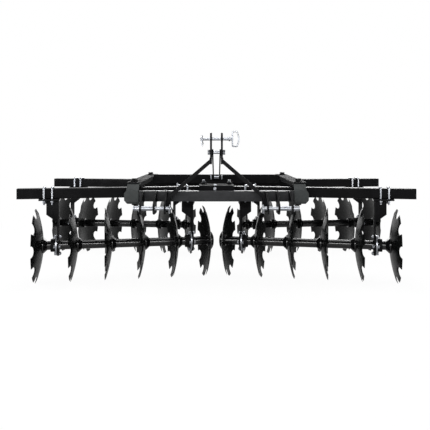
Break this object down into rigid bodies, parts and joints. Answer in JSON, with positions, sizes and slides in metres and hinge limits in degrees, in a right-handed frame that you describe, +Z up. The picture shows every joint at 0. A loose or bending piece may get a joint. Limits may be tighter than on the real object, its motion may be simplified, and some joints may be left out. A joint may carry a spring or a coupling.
{
  "type": "tandem disc harrow",
  "caption": "Tandem disc harrow for a three-point hitch, with notched discs on four swivelling gangs under a square-tube frame and an A-shaped mast.",
  "frame": {"origin": "on the ground, at the middle of the machine's length and width", "axes": "+X to the right when looking from the hitch to the rear, +Y to the rear, +Z up"},
  "size_m": [2.649, 1.5231, 0.9454],
  "materials": {
    "black_paint": "satin black powder coat",
    "black_disc": "gloss black paint on rolled steel",
    "black_shaft": "satin black paint on cast iron and bar",
    "zinc_plate": "bright zinc plate"
  },
  "bodies": {
    "frame": {"corner_front_left": "black_paint", "corner_front_right": "black_paint", "corner_rear_left": "black_paint", "corner_rear_right": "black_paint", "front_cross_tube": "black_paint", "hitch_lugs_left": "black_paint", "hitch_lugs_right": "black_paint", "lower_pin_left": "zinc_plate", "lower_pin_right": "zinc_plate", "mast_bolts": "zinc_plate", "mast_leg_left": "black_paint", "mast_leg_right": "black_paint", "mast_stays": "black_paint", "pivot_bolts": "zinc_plate", "pivot_bracket_front": "black_paint", "pivot_bracket_rear": "black_paint", "rear_cross_tube": "black_paint", "side_rail_left": "black_paint", "side_rail_right": "black_paint", "top_link_pin": "zinc_plate"},
    "beam_front_left": {"gang_beam_front_left": "black_paint", "hangers_front_left": "black_paint", "bearings_front_left": "zinc_plate", "beam_bolts_front_left": "zinc_plate"},
    "gang_front_left": {"discs_front_left": "black_disc", "gang_shaft_front_left": "black_shaft"},
    "beam_front_right": {"gang_beam_front_right": "black_paint", "hangers_front_right": "black_paint", "bearings_front_right": "zinc_plate", "beam_bolts_front_right": "zinc_plate"},
    "gang_front_right": {"discs_front_right": "black_disc", "gang_shaft_front_right": "black_shaft"},
    "beam_rear_left": {"gang_beam_rear_left": "black_paint", "hangers_rear_left": "black_paint", "bearings_rear_left": "zinc_plate", "beam_bolts_rear_left": "zinc_plate"},
    "gang_rear_left": {"discs_rear_left": "black_disc", "gang_shaft_rear_left": "black_shaft"},
    "beam_rear_right": {"gang_beam_rear_right": "black_paint", "hangers_rear_right": "black_paint", "bearings_rear_right": "zinc_plate", "beam_bolts_rear_right": "zinc_plate"},
    "gang_rear_right": {"discs_rear_right": "black_disc", "gang_shaft_rear_right": "black_shaft"}
  },
  "joints": [
    {"name": "swivel_front_left", "type": "hinge", "parent": "frame", "child": "beam_front_left", "pos_m": [-0.085, -0.33525, 0.5555], "axis": [0, 0, 1], "range_deg": [-4, 4]},
    {"name": "spin_front_left", "type": "hinge", "parent": "beam_front_left", "child": "gang_front_left", "pos_m": [-0.085, -0.33525, 0.2285], "axis": [0.9813, 0.1925, 0], "continuous": true},
    {"name": "swivel_front_right", "type": "hinge", "parent": "frame", "child": "beam_front_right", "pos_m": [0.085, -0.33525, 0.5555], "axis": [0, 0, -1], "range_deg": [-4, 4]},
    {"name": "spin_front_right", "type": "hinge", "parent": "beam_front_right", "child": "gang_front_right", "pos_m": [0.085, -0.33525, 0.2285], "axis": [0.9813, -0.1925, 0], "continuous": true},
    {"name": "swivel_rear_left", "type": "hinge", "parent": "frame", "child": "beam_rear_left", "pos_m": [-0.085, 0.39102, 0.5555], "axis": [0, 0, -1], "range_deg": [-4, 4]},
    {"name": "spin_rear_left", "type": "hinge", "parent": "beam_rear_left", "child": "gang_rear_left", "pos_m": [-0.085, 0.39102, 0.2285], "axis": [0.9923, -0.1236, 0], "continuous": true},
    {"name": "swivel_rear_right", "type": "hinge", "parent": "frame", "child": "beam_rear_right", "pos_m": [0.085, 0.39102, 0.5555], "axis": [0, 0, 1], "range_deg": [-4, 4]},
    {"name": "spin_rear_right", "type": "hinge", "parent": "beam_rear_right", "child": "gang_rear_right", "pos_m": [0.085, 0.39102, 0.2285], "axis": [0.9923, 0.1236, 0], "continuous": true}
  ]
}
